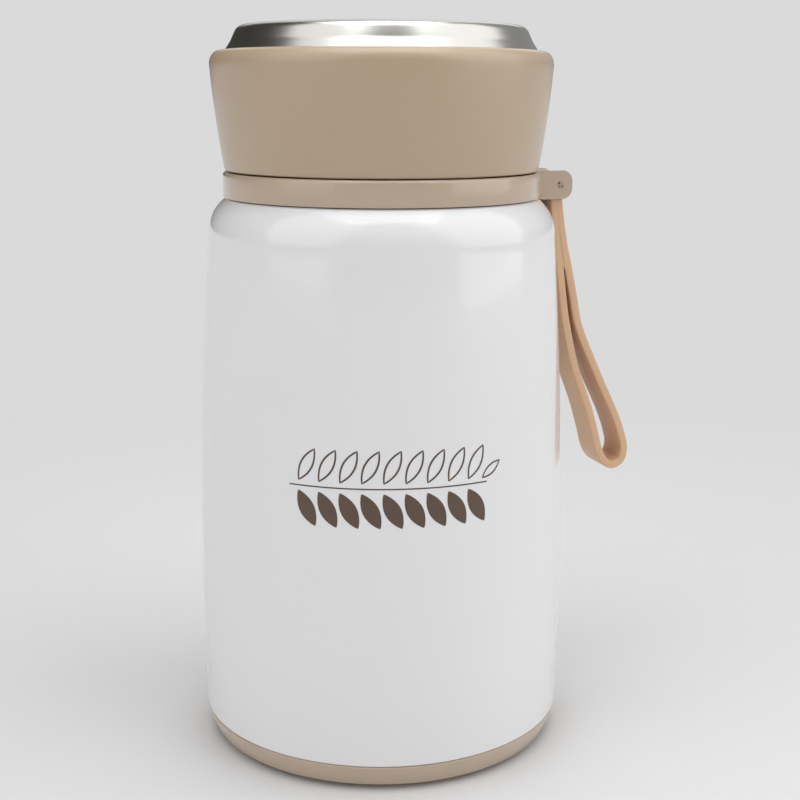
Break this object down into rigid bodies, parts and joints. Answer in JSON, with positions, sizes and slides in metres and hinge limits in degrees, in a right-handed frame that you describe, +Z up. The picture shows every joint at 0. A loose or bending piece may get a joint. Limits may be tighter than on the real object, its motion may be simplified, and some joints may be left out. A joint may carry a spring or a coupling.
{
  "type": "insulated food jar",
  "caption": "Vacuum insulated food jar: double-wall steel body, screw stopper with a vent, steel bowl lid in a plastic sleeve, and a rubber strap on a swivel collar.",
  "frame": {"origin": "centre of the base's underside, on the jar's axis", "axes": "+Z up along the jar's axis, +X towards the strap's lug, +Y completes the right hand"},
  "size_m": [0.1241, 0.1006, 0.1922],
  "materials": {
    "white_paint": "gloss",
    "steel": "satin",
    "beige_gloss": "gloss",
    "beige_soft": "satin",
    "pin_steel": "polished",
    "white_plastic": "satin",
    "foam": "matt",
    "silicone": "translucent matt",
    "seal_glass": "gloss",
    "getter_metal": "matt"
  },
  "bodies": {
    "vessel": {"outer_shell": "white_paint", "inner_liner": "steel", "shell_bottom": "steel", "vacuum_seal": "seal_glass", "getter": "getter_metal", "base_cap": "beige_gloss"},
    "collar": {"strap_collar": "beige_gloss", "strap_pin": "pin_steel"},
    "strap": {"strap": "beige_soft"},
    "stopper_rise": {"stopper_gasket": "silicone"},
    "stopper": {"stopper_cap": "white_plastic", "stopper_pan": "white_plastic", "stopper_foam": "foam", "vent_diaphragm": "silicone"},
    "vent": {"vent_button": "beige_gloss", "vent_valve": "silicone"},
    "lid_rise": {"lid_gasket": "silicone"},
    "lid": {"lid_sleeve": "beige_gloss", "lid_bowl": "steel", "lid_thread_ring": "white_plastic"}
  },
  "joints": [
    {"name": "collar_swivel", "type": "hinge", "parent": "vessel", "child": "collar", "pos_m": [0, 0, 0.1515], "axis": [0, 0, 1], "continuous": true},
    {"name": "strap_swing", "type": "hinge", "parent": "collar", "child": "strap", "pos_m": [0.0494, 0, 0.15075], "axis": [0, -1, 0], "range_deg": [0, 140]},
    {"name": "stopper_lift", "type": "slide", "parent": "vessel", "child": "stopper_rise", "axis": [0, 0, 1], "range_m": [0, 0.06001]},
    {"name": "stopper_turn", "type": "hinge", "parent": "stopper_rise", "child": "stopper", "pos_m": [0, 0, 0.16], "axis": [0, 0, 1], "range_deg": [0, 1800]},
    {"name": "vent_press", "type": "slide", "parent": "stopper", "child": "vent", "axis": [0, 0, 1], "range_m": [-0.0015, 0], "stiffness_N_per_m": 300},
    {"name": "lid_lift", "type": "slide", "parent": "stopper", "child": "lid_rise", "axis": [0, 0, 1], "range_m": [0, 0.03601]},
    {"name": "lid_turn", "type": "hinge", "parent": "lid_rise", "child": "lid", "pos_m": [0, 0, 0.165], "axis": [0, 0, 1], "range_deg": [0, 1080]}
  ],
  "couplings": [
    {"joint": "stopper_lift", "follows": "stopper_turn", "m_per_rad": 0.0019099},
    {"joint": "lid_lift", "follows": "lid_turn", "m_per_rad": 0.0019099}
  ]
}
